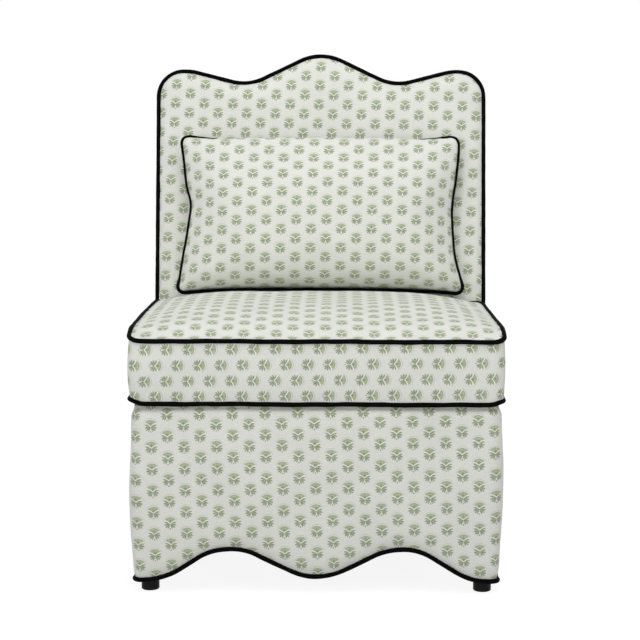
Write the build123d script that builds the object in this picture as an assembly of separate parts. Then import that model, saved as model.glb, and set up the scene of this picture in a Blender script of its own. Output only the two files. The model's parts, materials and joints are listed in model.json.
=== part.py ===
from build123d import *
from math import acos, atan2, cos, floor, hypot, radians, sin, tan
import os

# Armless upholstered accent chair in millimetres: +Z up, the front faces -Y, and the origin is on the
# floor under the middle of the chair. It is worked out from y = 0 at the front of the base and is
# centred at the end.

# Cloth, padding and piping
fabric = 1.5                 # printed cover cloth with its lining
batting = 8.0                # fibre layer between the base boards and the cover
welt_radius = 3.25           # black piping
soft_gap = 0.3               # room between layers that lie against each other
fit_gap = 0.1                # room round a screw or bolt in its hole

# Base
base_width = 611.0
base_height = 315.5          # floor to the top of the deck cloth
front_corner_radius = 22.0
rear_corner_radius = 5.0
apron_corner_height = 22.0   # piping above the floor at the corners
apron_centre_height = 28.0   # at the drop between two arches
apron_arch_height = 75.0     # at the top of an arch
apron_bend_radius = 100.0
arches_per_side = 2
board = 12.0                 # plywood of the base
rail_height = 40.0
rail_depth = 22.0
block_size = 40.0            # corner blocks that carry the feet
block_height = 58.0
block_chamfer = 14.0
batten = 20.0                # strips that the dust cover is stapled to
dust_cover_thickness = 1.0
deck_pad_thickness = 9.0

# Springs under the deck
spring_count = 5
spring_spread = base_width - 171.0   # between the outer springs
spring_wire_radius = 1.9
spring_bar = 30.0            # straight part of each bend
spring_pitch = 23.0          # target distance between bends
clip_width = 12.0
clip_steel = 1.2
tie_rod_radius = 1.5
tie_rod_places = (0.33, 0.67)

# Feet and fasteners
foot_radius = 15.0
foot_inset = 28.0            # from the outside of the cover to the middle of a foot
foot_edge_radius = 2.5
foot_bore_radius = 5.0
foot_bore_depth = 12.0
screw_radius = 2.0
screw_head_radius = 4.0
screw_head_height = 3.0
foot_screw_grip = 25.0       # thread in the corner block
board_screw_grip = 8.0       # thread in a plywood board
board_screw_place = 21.0     # from the neighbouring board
bolt_radius = 4.0
bolt_head_radius = 7.0
bolt_head_height = 5.0
washer_radius = 9.0
washer_thickness = 1.6
tee_nut_flange_radius = 10.0
tee_nut_flange = 1.5
tee_nut_barrel_radius = 5.0
bolt_heights = (150.0, 250.0)

# Seat cushion
seat_overhang = 2.5          # piping past each side of the base
seat_width = base_width + 2 * seat_overhang
seat_depth = 514.0           # along the top, from the front piping to the back
seat_thickness = 104.0       # between the middles of the two rows of piping
seat_crown = 41.0
seat_front_radius = 34.0
seat_rear_radius = 16.0
# Inset at the front and sides, inset at the rear and height, as shares: fullest towards the middle
crown_steps = ((0.0, 0.0, 0.0), (0.2, 0.08, 0.46), (0.4, 0.36, 0.78), (0.6, 0.62, 0.95), (0.8, 0.72, 1.0))
crown_rounding = 0.12        # how fast the corners of the crown round off

# Backrest
recline = radians(10.0)
back_overhang = 5.7          # piping past each side of the base
back_half_width = base_width / 2 + back_overhang
back_centre_rise = 580.0     # piping above the base, along the slope
back_valley_rise = 528.0
back_horn_rise = 550.5
back_valley_place = 0.479 * back_half_width
back_horn_place = back_half_width - 52.2
back_bend_radius = 90.0
back_corner_radius = 48.0
back_crown = 12.0            # padding in front of the piping
back_roll_radius = 11.0
back_foam_depth = 32.0       # padding behind the piping
webbing_thickness = 2.0
webbing_width = 50.0
webbing_count = 4
front_panel_thickness = 15.0
window_side = 90.0           # frame left beside the window of the front panel
window_bottom = 90.0
window_top = back_valley_rise - 68.0
window_radius = 25.0
post_width = 24.0
post_depth = 40.0            # in the backrest
post_foot_depth = 45.0       # in the base
post_foot_height = 105.0
post_top = back_valley_rise - 53.0
back_rail_height = 60.0
bottom_rail_place = 15.0
middle_rail_place = 0.52 * post_top
edge_batten_width = 15.0
edge_batten_top = back_horn_rise - back_corner_radius - 22.5
spacer_width = 60.0
spacer_height = 30.0
edge_padding = 5.0
outside_panel_thickness = 5.0
panel_screw_places = [share * post_top for share in (0.12, 0.42, 0.71, 0.96)]
panel_screw_grip = 20.0

# Lumbar pillow
pillow_margin = 37.0         # from each side of the base to the corner of the pillow
pillow_width = base_width - 2 * pillow_margin
pillow_height = 295.0
pillow_front_depth = 78.0    # crown in front of the seam
pillow_back_depth = 34.0     # flatter crown behind it, pressed on the backrest
pillow_side_draw = 20.0      # how far the sides are drawn in
pillow_top_draw = 6.0
pillow_corner_radius = 13.0
pillow_rounding = 0.3
pillow_welt_radius = 2.4     # thinner piping than on the chair
pillow_steps = ((0.0, 0.0), (0.1, 0.36), (0.28, 0.67), (0.55, 0.91), (0.85, 1.0))   # inset and height

# Zips
seat_zip_length = seat_width - 156.0
zip_slot_height = 18.0
zip_recess = 6.0
zip_tape = 1.5
zip_teeth_height = 5.0
zip_teeth = 1.2
slider_length = 10.0
slider_height = 9.0
slider_thickness = 2.4
tab_length = 16.0
tab_height = 5.0
tab_thickness = 1.0
pillow_zip_length = pillow_width - 142.0
pillow_zip_height = 4.0
pillow_zip_thickness = 2.5
pillow_zip_drop = 1.0        # how far the zip lies below the seam
pillow_slider_height = 5.0

# Levels and places that follow from the sizes above
seat_bottom = base_height + soft_gap
seat_low_welt = seat_bottom + welt_radius
seat_top = seat_low_welt + seat_thickness
back_depth = (back_foam_depth + webbing_thickness + front_panel_thickness + post_depth
              + outside_panel_thickness + fabric + 4 * soft_gap)
deck_top = base_height - fabric
board_top = deck_top - deck_pad_thickness
spring_level = board_top - clip_steel - spring_wire_radius - 2 * soft_gap
rail_top = spring_level - spring_wire_radius - soft_gap


# Where a plane parallel to the backrest stands at a height; forward counts from the piping
def slope_y(forward, height):
    face = seat_depth + (welt_radius + soft_gap) / cos(recline)
    return face + (back_crown - forward) / cos(recline) + (height - seat_top) * tan(recline)


base_depth = slope_y(-back_depth, base_height)
shell = fabric + soft_gap + batting            # cover and batting in front of and beside the boards
board_half = base_width / 2 - shell            # outside of the side boards
board_in = board_half - board                  # inside of the side boards
board_front = shell
board_rear = base_depth - fabric - soft_gap
post_back = board_rear - board - soft_gap      # rear face of the posts inside the base
post_front = post_back - post_foot_depth
back_plane = Plane((0, slope_y(0, base_height), base_height), x_dir=(1, 0, 0),
                   z_dir=(0, -cos(recline), sin(recline)))

made = {}


# Box between two corners
def block(low, high):
    size = [b - a for a, b in zip(low, high)]
    return Pos(*low) * Box(*size, align=(Align.MIN, Align.MIN, Align.MIN))


far = base_width + base_depth + base_height
below_back = block((-far, -far, -far), (far, far, base_height + soft_gap))


# Round bar from one point along a direction
def bar(start, direction, radius, length):
    return Solid.make_cylinder(radius, length, Plane(start, z_dir=direction))


# Arc, straight run and arc between two level turning points of a wave
def s_curve(start, end, start_radius, end_radius):
    run = end[0] - start[0]
    rise = abs(end[1] - start[1])
    way = 1 if end[1] > start[1] else -1
    widest = (run**2 + rise**2) / (2 * rise)
    ease = min(1.0, 0.98 * widest / (start_radius + end_radius))
    r0, r1 = start_radius * ease, end_radius * ease
    turn = atan2(run, r0 + r1 - rise) - acos((r0 + r1) / hypot(run, r0 + r1 - rise))

    def after_start(angle):
        return (start[0] + r0 * sin(angle), start[1] + way * r0 * (1 - cos(angle)))

    def before_end(angle):
        return (end[0] - r1 * sin(angle), end[1] - way * r1 * (1 - cos(angle)))

    return [
        ThreePointArc(start, after_start(turn / 2), after_start(turn)),
        Line(after_start(turn), before_end(turn)),
        ThreePointArc(before_end(turn), before_end(turn / 2), end),
    ]


# Wave through level turning points, each (place, height, bend radius)
def wave(turns):
    edges = []
    for a, b in zip(turns, turns[1:]):
        edges += s_curve(a[:2], b[:2], a[2], b[2])
    return edges


# Lower edge of one side of the base
def apron_wave(half_length):
    last = 2 * arches_per_side
    turns = []
    for k in range(last + 1):
        height = apron_arch_height if k % 2 else apron_centre_height
        if k in (0, last):
            height = apron_corner_height
        turns.append((half_length * (2 * k / last - 1), height, apron_bend_radius))
    return wave(turns)


# What is cut out of a wall under its arches
def arch_cutter(half_length, thickness):
    low = apron_corner_height - 1
    edges = apron_wave(half_length) + [
        Line((half_length, apron_corner_height), (half_length, low)),
        Line((half_length, low), (-half_length, low)),
        Line((-half_length, low), (-half_length, apron_corner_height)),
    ]
    return extrude(make_face(edges), thickness / 2, both=True)


# Tube along a path
def tube(path, radius):
    return sweep(Plane(path @ 0, z_dir=path % 0) * Circle(radius), path)


# Rounded rectangle from y = front to y = rear, with its own radius at the front and the rear
def plan(width, front, rear, front_radius, rear_radius):
    sketch = Pos(0, (front + rear) / 2) * Rectangle(width, rear - front)
    corners = sketch.vertices().sort_by(Axis.Y)
    sketch = fillet(corners[:2], front_radius)
    corners = [v for v in sketch.vertices() if v.Y > rear - 0.01]
    return fillet(corners, rear_radius)


# Plan of the base cover, drawn in by an inset
def base_plan(inset):
    return plan(base_width - 2 * inset, inset, base_depth - inset, front_corner_radius - inset,
                max(rear_corner_radius - inset, 1.0))


front_half = base_width / 2 - front_corner_radius
side_half = (base_depth - front_corner_radius - rear_corner_radius) / 2
side_middle = front_corner_radius + side_half
front_wall = Plane((0, 0, 0), x_dir=(1, 0, 0), z_dir=(0, -1, 0))
side_walls = [Plane((side * base_width / 2, side_middle, 0), x_dir=(0, 1, 0), z_dir=(1, 0, 0))
              for side in (-1, 1)]
wall_depth = 2 * (shell + board + 1)
arches = [front_wall.location * arch_cutter(front_half, wall_depth)]
arches += [wall.location * arch_cutter(side_half, wall_depth) for wall in side_walls]


# Path of the piping round the foot of the base
def base_welt_path():
    edges = [e.moved(front_wall.location) for e in apron_wave(front_half)]
    level = apron_corner_height
    half = base_width / 2
    for side, wall in zip((-1, 1), side_walls):
        edges += [e.moved(wall.location) for e in apron_wave(side_half)]
        for y, r, way in ((front_corner_radius, front_corner_radius, -1),
                          (base_depth - rear_corner_radius, rear_corner_radius, 1)):
            middle = (side * (half - r), y)
            bend = r * sin(radians(45))
            edges.append(ThreePointArc(
                (side * half, y, level),
                (middle[0] + side * bend, y + way * bend, level),
                (middle[0], y + way * r, level)))
    reach = half - rear_corner_radius
    edges.append(Line((-reach, base_depth, level), (reach, base_depth, level)))
    return Wire(edges)


# Cover, batting and piping of the base
def build_base_cloth():
    path = base_welt_path()
    groove = tube(path, welt_radius + soft_gap)
    made["base_welt"] = tube(path, welt_radius)
    height = deck_top - apron_corner_height
    start = Pos(0, 0, apron_corner_height)
    sleeve = start * extrude(base_plan(0) - base_plan(fabric), height)
    made["base_cover"] = sleeve - arches - groove
    ring = start * extrude(base_plan(fabric + soft_gap), height)
    core = block((-board_half, board_front, 0), (board_half, base_depth, base_height))
    made["base_batting"] = ring - core - arches - groove


# Screw from its seat along a direction, and the hole it needs
def screw(seat, direction, length, room=0.0):
    head = bar(seat, [-d for d in direction], screw_head_radius + room, screw_head_height + room)
    return head + bar(seat, direction, screw_radius + room, length + room)


# Plywood box, rails, corner blocks, feet and dust cover of the base
def build_base_frame():
    low = apron_corner_height
    inner_front = board_front + board
    inner_rear = board_rear - board
    boards = {
        "front_apron_board": block((-board_in, board_front, low), (board_in, inner_front, board_top)),
        "rear_base_board": block((-board_in, inner_rear, low), (board_in, board_rear, board_top)),
        "left_side_board": block((-board_half, board_front, low), (-board_in, board_rear, board_top)),
        "right_side_board": block((board_in, board_front, low), (board_half, board_rear, board_top)),
    }
    for name in boards:
        if name != "rear_base_board":
            boards[name] = boards[name] - arches
    reach = board_in - soft_gap
    rails = {
        "seat_front_rail": inner_front + soft_gap,
        "seat_rear_rail": post_front - soft_gap - rail_depth,
    }
    for name, y in rails.items():
        made[name] = block((-reach, y, rail_top - rail_height), (reach, y + rail_depth, rail_top))

    blocks, screws, holes, foot_screws, foot_holes = [], [], [], [], []
    inner = block_size / 2
    for side, left_or_right in ((-1, "left"), (1, "right")):
        for way, end in ((-1, "front"), (1, "rear")):
            wall_y = inner_front if way < 0 else inner_rear
            x = side * (board_in - inner)
            y = wall_y - way * inner
            z = low + block_height / 2
            piece = Pos(x, y, z) * Box(block_size, block_size, block_height)
            edge = piece.edges().filter_by(Axis.Z).sort_by_distance((0, (inner_front + inner_rear) / 2, z))[0]
            blocks.append(chamfer(edge, block_chamfer))
            length = block_size + board_screw_grip
            seats = (
                ((x - side * inner, wall_y - way * board_screw_place, low + block_height * 0.35),
                 (side, 0, 0)),
                ((side * (board_in - board_screw_place), y - way * inner, low + block_height * 0.7),
                 (0, way, 0)),
            )
            for seat, direction in seats:
                sunk = [s + d * screw_head_height for s, d in zip(seat, direction)]
                screws.append(screw(sunk, direction, length - screw_head_height))
                holes.append(screw(sunk, direction, length - screw_head_height, fit_gap))
            foot_x = side * (base_width / 2 - foot_inset)
            foot_y = foot_inset if way < 0 else base_depth - foot_inset
            foot = bar((foot_x, foot_y, 0), (0, 0, 1), foot_radius, low)
            foot = fillet(foot.edges().group_by(Axis.Z)[0], foot_edge_radius)
            foot -= bar((foot_x, foot_y, 0), (0, 0, 1), foot_bore_radius, foot_bore_depth)
            seat = (foot_x, foot_y, foot_bore_depth)
            length = low - foot_bore_depth + foot_screw_grip
            foot_screws.append(screw(seat, (0, 0, 1), length))
            foot_holes.append(screw(seat, (0, 0, 1), length, fit_gap))
            made[f"{end}_{left_or_right}_foot"] = foot - foot_holes[-1]
    made["corner_blocks"] = [piece - holes - foot_holes for piece in blocks]
    made["corner_block_screws"] = screws
    made["foot_screws"] = foot_screws
    groove = tube(base_welt_path(), welt_radius + soft_gap)
    for name, piece in boards.items():
        made[name] = piece - holes - groove

    cover_z = low + block_height + soft_gap
    sheet = block((-reach, inner_front + soft_gap, cover_z),
                  (reach, inner_rear - soft_gap, cover_z + dust_cover_thickness))
    made["dust_cover"] = sheet
    strip_low = cover_z + dust_cover_thickness
    strip_high = strip_low + batten
    strips = []
    for y in (inner_front, inner_rear - batten):
        strips.append(block((-board_in, y, strip_low), (board_in, y + batten, strip_high)))
    for x in (-board_in, board_in - batten):
        strips.append(block((x, inner_front + batten, strip_low),
                            (x + batten, inner_rear - batten, strip_high)))
    made["dust_cover_battens"] = strips


# Zigzag springs, their clips and tie rods, and the deck over them
def build_deck():
    front_y = board_front + board + soft_gap + rail_depth / 2
    rear_y = post_front - soft_gap - rail_depth / 2
    bends = max(2, floor((rear_y - front_y) / spring_pitch))
    bend_radius = (rear_y - front_y) / bends / 2
    edges = []
    for k in range(bends + 1):
        y = front_y + 2 * bend_radius * k
        way = -1 if k % 2 else 1
        edges.append(Line((-way * spring_bar / 2, y), (way * spring_bar / 2, y)))
        if k < bends:
            x = way * spring_bar / 2
            edges.append(ThreePointArc((x, y), (x + way * bend_radius, y + bend_radius),
                                       (x, y + 2 * bend_radius)))
    spring = tube(Wire(edges), spring_wire_radius)
    springs, clips = [], []
    inside = spring_wire_radius + soft_gap
    clip = Box(clip_width, 2 * (inside + clip_steel), 2 * spring_wire_radius + 2 * soft_gap + clip_steel,
               align=(Align.CENTER, Align.CENTER, Align.MIN))
    clip -= Box(clip_width, 2 * inside, 2 * spring_wire_radius + 2 * soft_gap,
                align=(Align.CENTER, Align.CENTER, Align.MIN))
    for k in range(spring_count):
        x = spring_spread * (k / (spring_count - 1) - 0.5)
        springs.append(Pos(x, 0, spring_level) * spring)
        clips += [Pos(x, y, rail_top) * clip for y in (front_y, rear_y)]
    made["sinuous_springs"] = springs
    made["spring_clips"] = clips
    tie_z = spring_level - spring_wire_radius - soft_gap - tie_rod_radius
    reach = board_in - soft_gap
    made["spring_tie_rods"] = [
        bar((-reach, front_y + share * (rear_y - front_y), tie_z), (1, 0, 0), tie_rod_radius, 2 * reach)
        for share in tie_rod_places]
    end = post_front - soft_gap
    made["deck_pad"] = block((-board_half, board_front, board_top), (board_half, end, deck_top - soft_gap))
    cloth = Pos(0, 0, deck_top) * extrude(base_plan(0), fabric)
    made["deck_cloth"] = cloth & block((-base_width, -1, 0), (base_width, end, 2 * base_height))


# Upper outline of the backrest on its own plane, drawn in by an inset, from one side to the other
def back_edges(inset):
    half = back_half_width - inset
    bend = back_bend_radius
    corner = back_corner_radius - inset
    horn = (back_horn_place, back_horn_rise - inset)
    shoulder = horn[1] - corner
    turns = [(-horn[0], horn[1], bend - inset),
             (-back_valley_place, back_valley_rise - inset, bend + inset),
             (0, back_centre_rise - inset, bend - inset),
             (back_valley_place, back_valley_rise - inset, bend + inset),
             (horn[0], horn[1], bend - inset)]
    edges = wave(turns)
    foot = -back_depth
    for side in (-1, 1):
        middle = side * (half - corner)
        lean = corner * sin(radians(45))
        edges.append(Line((middle, horn[1]), (side * horn[0], horn[1])))
        edges.append(ThreePointArc((middle, horn[1]), (middle + side * lean, shoulder + lean),
                                   (side * half, shoulder)))
        edges.append(Line((side * half, shoulder), (side * half, foot)))
    return edges


def back_face(inset):
    half = back_half_width - inset
    return make_face(back_edges(inset) + [Line((-half, -back_depth), (half, -back_depth))])


# Slab of the backrest between two distances in front of the piping, stood in place on the base
def back_slab(inset, rear, front):
    return Pos(0, 0, rear) * extrude(back_face(inset), front - rear)


def stand_up(piece):
    return back_plane.location * piece - below_back


# Slab whose front edge is rolled
def rolled_slab(inset, rear, front, radius):
    slab = back_slab(inset, rear, front)
    rim = [e for e in slab.faces().sort_by(Axis.Z)[-1].edges() if e.center().Y > -back_depth + 1]
    return fillet(rim, radius)


# Backrest: panels, posts, rails, webbing, foam, cloth and piping
def build_back():
    foam_rear = -back_foam_depth
    panel_front = foam_rear - webbing_thickness - 2 * soft_gap
    panel_rear = panel_front - front_panel_thickness
    post_rear = panel_rear - post_depth
    outside_front = post_rear - soft_gap
    outside_rear = outside_front - outside_panel_thickness
    frame_inset = fabric + 2 * soft_gap + edge_padding
    frame_half = back_half_width - frame_inset

    path = Wire(back_edges(0))
    groove = tube(path, welt_radius + soft_gap)
    made["back_welt"] = stand_up(tube(path, welt_radius))
    skin = rolled_slab(0, 0, back_crown, back_roll_radius)
    skin -= rolled_slab(fabric, -1, back_crown - fabric, back_roll_radius - fabric)
    made["back_front_cover"] = stand_up(skin - groove)
    boxing = back_slab(0, outside_rear, 0) - back_slab(fabric, outside_rear - 1, 1)
    made["back_boxing"] = stand_up(boxing - groove)
    foam = rolled_slab(fabric + soft_gap, foam_rear, back_crown - fabric - soft_gap,
                       back_roll_radius - fabric)
    made["back_foam"] = stand_up(foam - groove)
    pad = back_slab(fabric + soft_gap, outside_front, foam_rear - soft_gap)
    pad -= back_slab(fabric + soft_gap + edge_padding, outside_front - 1, foam_rear + 1)
    made["back_edge_padding"] = stand_up(pad)
    made["outside_back_panel"] = stand_up(back_slab(fabric + soft_gap, outside_rear,
                                                    outside_front - soft_gap))
    made["outside_back_cover"] = stand_up(back_slab(0, outside_rear - soft_gap - fabric,
                                                    outside_rear - soft_gap))

    window_half = back_half_width - window_side
    window = Pos(0, (window_bottom + window_top) / 2) * RectangleRounded(
        2 * window_half, window_top - window_bottom, window_radius)
    panel = back_slab(frame_inset, panel_rear, panel_front)
    panel -= Pos(0, 0, panel_rear) * extrude(window, front_panel_thickness)
    post_mid = board_in - soft_gap - post_width / 2
    screws, holes = [], []
    for side in (-1, 1):
        for v in panel_screw_places:
            seat = (side * post_mid, v, panel_front - screw_head_height)
            length = front_panel_thickness - screw_head_height + panel_screw_grip
            screws.append(stand_up(screw(seat, (0, 0, -1), length)))
            holes.append(screw(seat, (0, 0, -1), length, fit_gap))
    made["back_panel_screws"] = screws
    made["back_front_panel"] = stand_up(panel - holes)
    strap_reach = window_half + webbing_width
    pitch = (window_top - window_bottom) / webbing_count
    straps = [window_bottom + pitch * (k + 0.5) for k in range(webbing_count)]
    made["back_webbing"] = [
        stand_up(block((-strap_reach, v - webbing_width / 2, panel_front),
                       (strap_reach, v + webbing_width / 2, panel_front + webbing_thickness)))
        for v in straps]

    rail_reach = post_mid - post_width / 2
    for name, v in (("back_bottom_rail", bottom_rail_place), ("back_middle_rail", middle_rail_place)):
        made[name] = stand_up(block((-rail_reach, v, post_rear),
                                    (rail_reach, v + back_rail_height, panel_rear)))
    for side, name in ((-1, "left"), (1, "right")):
        outer, inner = side * frame_half, side * (frame_half - edge_batten_width)
        made[f"{name}_edge_batten"] = stand_up(block(
            (min(outer, inner), -back_depth, post_rear),
            (max(outer, inner), edge_batten_top, panel_rear)))
    tops = ((-back_horn_place, back_horn_rise), (0, back_centre_rise), (back_horn_place, back_horn_rise))
    made["top_spacer_blocks"] = [
        stand_up(block((u - spacer_width / 2, top - frame_inset - 1.5 * spacer_height, post_rear),
                       (u + spacer_width / 2, top - frame_inset - spacer_height / 2, panel_rear)))
        for u, top in tops]
    build_posts(post_mid, panel_rear, post_rear, [back_plane.location * hole for hole in holes])


# Posts that carry the backrest, bent at the base, with the bolts that hold them to the side boards
def build_posts(post_mid, front, rear, holes):
    level = base_height + soft_gap
    rise = post_top * cos(recline)
    top = base_height + rise

    def along(forward, height):
        return (slope_y(forward, height), height)

    profile = Polyline(
        (post_front, post_foot_height), (post_back, post_foot_height), (post_back, level),
        along(rear, level), along(rear, top), along(front, top), along(front, level),
        (post_front, level), close=True)
    side_plane = Plane((0, 0, 0), x_dir=(0, 1, 0), z_dir=(1, 0, 0))
    post = side_plane.location * extrude(make_face(profile), post_width / 2, both=True)
    bolts, washers, nuts = [], [], []
    bolt_y = (post_front + post_back) / 2
    inner = post_mid - post_width / 2
    barrel = board - soft_gap
    for side, name in ((-1, "left"), (1, "right")):
        piece = Pos(side * post_mid, 0, 0) * post - holes
        away = (side, 0, 0)
        for z in bolt_heights:
            face = (side * inner, bolt_y, z)
            washer = bar(face, (-side, 0, 0), washer_radius, washer_thickness)
            washer -= bar(face, (-side, 0, 0), bolt_radius + fit_gap, washer_thickness)
            washers.append(washer)
            under_head = (side * (inner - washer_thickness), bolt_y, z)
            length = washer_thickness + post_width + soft_gap + board
            bolt = bar(under_head, away, bolt_radius, length)
            bolts.append(bolt + bar(under_head, (-side, 0, 0), bolt_head_radius, bolt_head_height))
            outside = (side * board_half, bolt_y, z)
            nut = bar(outside, (-side, 0, 0), tee_nut_barrel_radius, barrel)
            nut += bar(outside, away, tee_nut_flange_radius, tee_nut_flange)
            bolt_room = bar(under_head, away, bolt_radius + fit_gap, 2 * length)
            nuts.append(nut - bolt_room)
            nut_room = bar(outside, (-side, 0, 0), tee_nut_barrel_radius + fit_gap, board)
            made[f"{name}_side_board"] -= nut_room
            made["base_batting"] -= bar(outside, away, tee_nut_flange_radius + soft_gap,
                                        tee_nut_flange + soft_gap)
            piece -= bolt_room
        made[f"{name}_back_post"] = piece
    made["back_bolts"] = bolts
    made["back_bolt_washers"] = washers
    made["back_tee_nuts"] = nuts


# Plan of the seat cushion at a height, drawn in by an inset; its rear leans with the backrest
def seat_plan(inset, height, front_radius, rear_radius):
    rear = seat_depth + (height - seat_top) * tan(recline)
    flat = plan(seat_width - 2 * inset, inset, rear - inset, front_radius, rear_radius)
    return Pos(0, 0, height) * flat


# Straight-sided body of the cushion between two heights
def seat_body(inset, low, high):
    radii = (seat_front_radius - inset, seat_rear_radius - inset)
    return loft([seat_plan(inset, low, *radii), seat_plan(inset, high, *radii)], ruled=True)


# Crown on top of the cushion
def seat_dome():
    half = min(seat_width, seat_depth) / 2
    sections = []
    for inset_share, rear_share, height_share in crown_steps:
        inset = inset_share * half
        flat = plan(seat_width - 2 * inset, inset, seat_depth - rear_share * half,
                    seat_front_radius + crown_rounding * inset, seat_rear_radius + crown_rounding * inset)
        sections.append(Pos(0, 0, seat_top + height_share * seat_crown) * flat)
    return loft(sections)


# Piping path round the cushion at a height
def seat_welt(height, radius):
    outline = seat_plan(0, height, seat_front_radius, seat_rear_radius)
    return tube(outline.faces()[0].outer_wire(), radius)


# Part of a zip slider: the body that runs on the teeth, and its pull tab
def zip_slider(place, height):
    body = Pos(0, 0, slider_thickness / 2) * Box(slider_length, height, slider_thickness)
    tab = Pos(slider_length / 2, 0, slider_thickness - tab_thickness) * Box(
        tab_length, tab_height, tab_thickness, align=(Align.MIN, Align.CENTER, Align.MIN))
    return place * (body + tab)


# Loose seat cushion with its zip in the rear of the boxing
def build_seat():
    upper_groove = seat_welt(seat_top, welt_radius + soft_gap)
    lower_groove = seat_welt(seat_low_welt, welt_radius + soft_gap)
    made["seat_top_welt"] = seat_welt(seat_top, welt_radius)
    made["seat_bottom_welt"] = seat_welt(seat_low_welt, welt_radius)
    dome = seat_dome()
    made["seat_top_panel"] = dome - Pos(0, 0, -fabric) * dome - upper_groove
    topper = Pos(0, 0, -fabric - soft_gap) * dome
    topper &= block((-seat_width, -1, seat_top), (seat_width, 2 * seat_depth, seat_top + 2 * seat_crown))
    made["seat_fibre_topper"] = topper - upper_groove

    middle = (seat_low_welt + seat_top) / 2
    rear_plane = Plane((0, seat_depth + (middle - seat_top) * tan(recline), middle), x_dir=(1, 0, 0),
                       z_dir=(0, -cos(recline), sin(recline)))
    recess = Pos(0, 0, zip_recess / 2) * Box(seat_zip_length, zip_slot_height, zip_recess)
    recess = rear_plane.location * recess
    floor_panel = seat_body(0, seat_bottom, seat_bottom + fabric)
    made["seat_bottom_panel"] = floor_panel - lower_groove
    boxing = seat_body(0, seat_bottom + fabric, seat_top)
    boxing -= seat_body(fabric, seat_bottom + fabric, seat_top)
    made["seat_boxing"] = boxing - upper_groove - lower_groove - recess
    core = seat_body(fabric + soft_gap, seat_bottom + fabric + soft_gap, seat_top - soft_gap)
    made["seat_foam_core"] = core - upper_groove - lower_groove - recess

    tape_z = zip_recess - soft_gap - zip_tape
    length = seat_zip_length - 2 * soft_gap
    tape = Pos(0, 0, tape_z + zip_tape / 2) * Box(length, zip_slot_height - 2 * soft_gap, zip_tape)
    tape += Pos(0, 0, tape_z - zip_teeth / 2) * Box(length, zip_teeth_height, zip_teeth)
    made["seat_zip"] = rear_plane.location * tape
    start = Pos(-length / 2 + slider_length / 2, 0, tape_z - zip_teeth - soft_gap) * Rot(180, 0, 0)
    made["seat_zip_slider"] = rear_plane.location * zip_slider(start, slider_height)


# Outline of the pillow on its own plane, drawn in by an inset; the lower edge is straight
def pillow_outline(inset):
    half_w, half_h = pillow_width / 2 - inset, pillow_height / 2 - inset
    ease = 1 - 2 * inset / pillow_height
    corners = [(-half_w, -half_h), (half_w, -half_h), (half_w, half_h), (-half_w, half_h)]
    side = half_w - ease * pillow_side_draw
    middles = [None, (side, 0), (0, half_h - ease * pillow_top_draw), (-side, 0)]
    edges = []
    for k, middle in enumerate(middles):
        a, b = corners[k], corners[(k + 1) % 4]
        edges.append(ThreePointArc(a, middle, b) if middle else Line(a, b))
    face = make_face(edges)
    return fillet(face.vertices(), min(pillow_corner_radius + pillow_rounding * inset, 0.8 * half_h))


# One side of the pillow, from the seam to the top of its crown
def pillow_dome(depth):
    sections = []
    for inset_share, height_share in pillow_steps:
        sections.append(Pos(0, 0, height_share * depth) * pillow_outline(inset_share * pillow_height / 2))
    return loft(sections)


# Loose lumbar pillow that leans on the backrest and stands on the seat
def build_pillow():
    outline = pillow_outline(0)
    path = outline.faces()[0].outer_wire()
    groove = tube(path, pillow_welt_radius + soft_gap)
    seam_up = extrude(Rectangle(2 * pillow_width, 2 * pillow_height), pillow_front_depth + pillow_back_depth)
    panels, fills = [], []
    for depth in (pillow_front_depth, pillow_back_depth):
        dome = pillow_dome(depth)
        panels.append(dome - Pos(0, 0, -fabric) * dome - groove)
        fills.append((Pos(0, 0, -fabric - soft_gap) * dome & seam_up) - groove)

    seam_y = -pillow_height / 2 - pillow_zip_drop
    zip_z = -pillow_welt_radius - soft_gap - pillow_zip_thickness
    chain = Pos(0, seam_y, zip_z + pillow_zip_thickness / 2) * Box(
        pillow_zip_length, pillow_zip_height, pillow_zip_thickness)
    start = Pos(-pillow_zip_length / 2 + slider_length / 2, seam_y, zip_z - soft_gap)
    pieces = {
        "pillow_front_panel": panels[0],
        "pillow_back_panel": mirror(panels[1], Plane.XY),
        "pillow_fill": fills[0] + mirror(fills[1], Plane.XY),
        "pillow_welt": tube(path, pillow_welt_radius),
        "pillow_zip": chain,
        "pillow_zip_slider": zip_slider(start * Rot(180, 0, 0), pillow_slider_height),
    }
    # The pillow's rear crown touches the backrest, and its lower piping stands on the crown of the seat.
    forward = back_crown + soft_gap + pillow_back_depth
    contact_y = slope_y(forward, seat_top)
    crown = made["seat_top_panel"].find_intersection_points(Axis((0, contact_y, 0), (0, 0, 1)))
    seam_z = max(point.Z for point, normal in crown) + pillow_welt_radius + 2 * soft_gap
    lift = pillow_height / 2 * cos(recline)
    centre_z = seam_z + lift
    place = Plane((0, slope_y(forward, centre_z), centre_z), x_dir=(1, 0, 0),
                  z_dir=(0, -cos(recline), sin(recline)))
    for name, piece in pieces.items():
        made[name] = place.location * piece


build_base_cloth()
build_base_frame()
build_deck()
build_back()
build_seat()
build_pillow()


# Every solid of a node, centred on the floor
def solids_of(node):
    pieces = node if isinstance(node, list) else [node]
    return [solid for piece in pieces for solid in piece.solids()]


everything = Compound([solid for node in made.values() for solid in solids_of(node)]).bounding_box()
to_centre = Pos(0, -everything.center().Y, 0)
os.makedirs("parts", exist_ok=True)
for name, node in made.items():
    export_step(to_centre * Compound(solids_of(node)), f"parts/{name}.step")
print("size", everything.size, "nodes", len(made))
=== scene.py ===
import json
import math
import bpy
import numpy as np
from mathutils import Matrix, Vector


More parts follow.
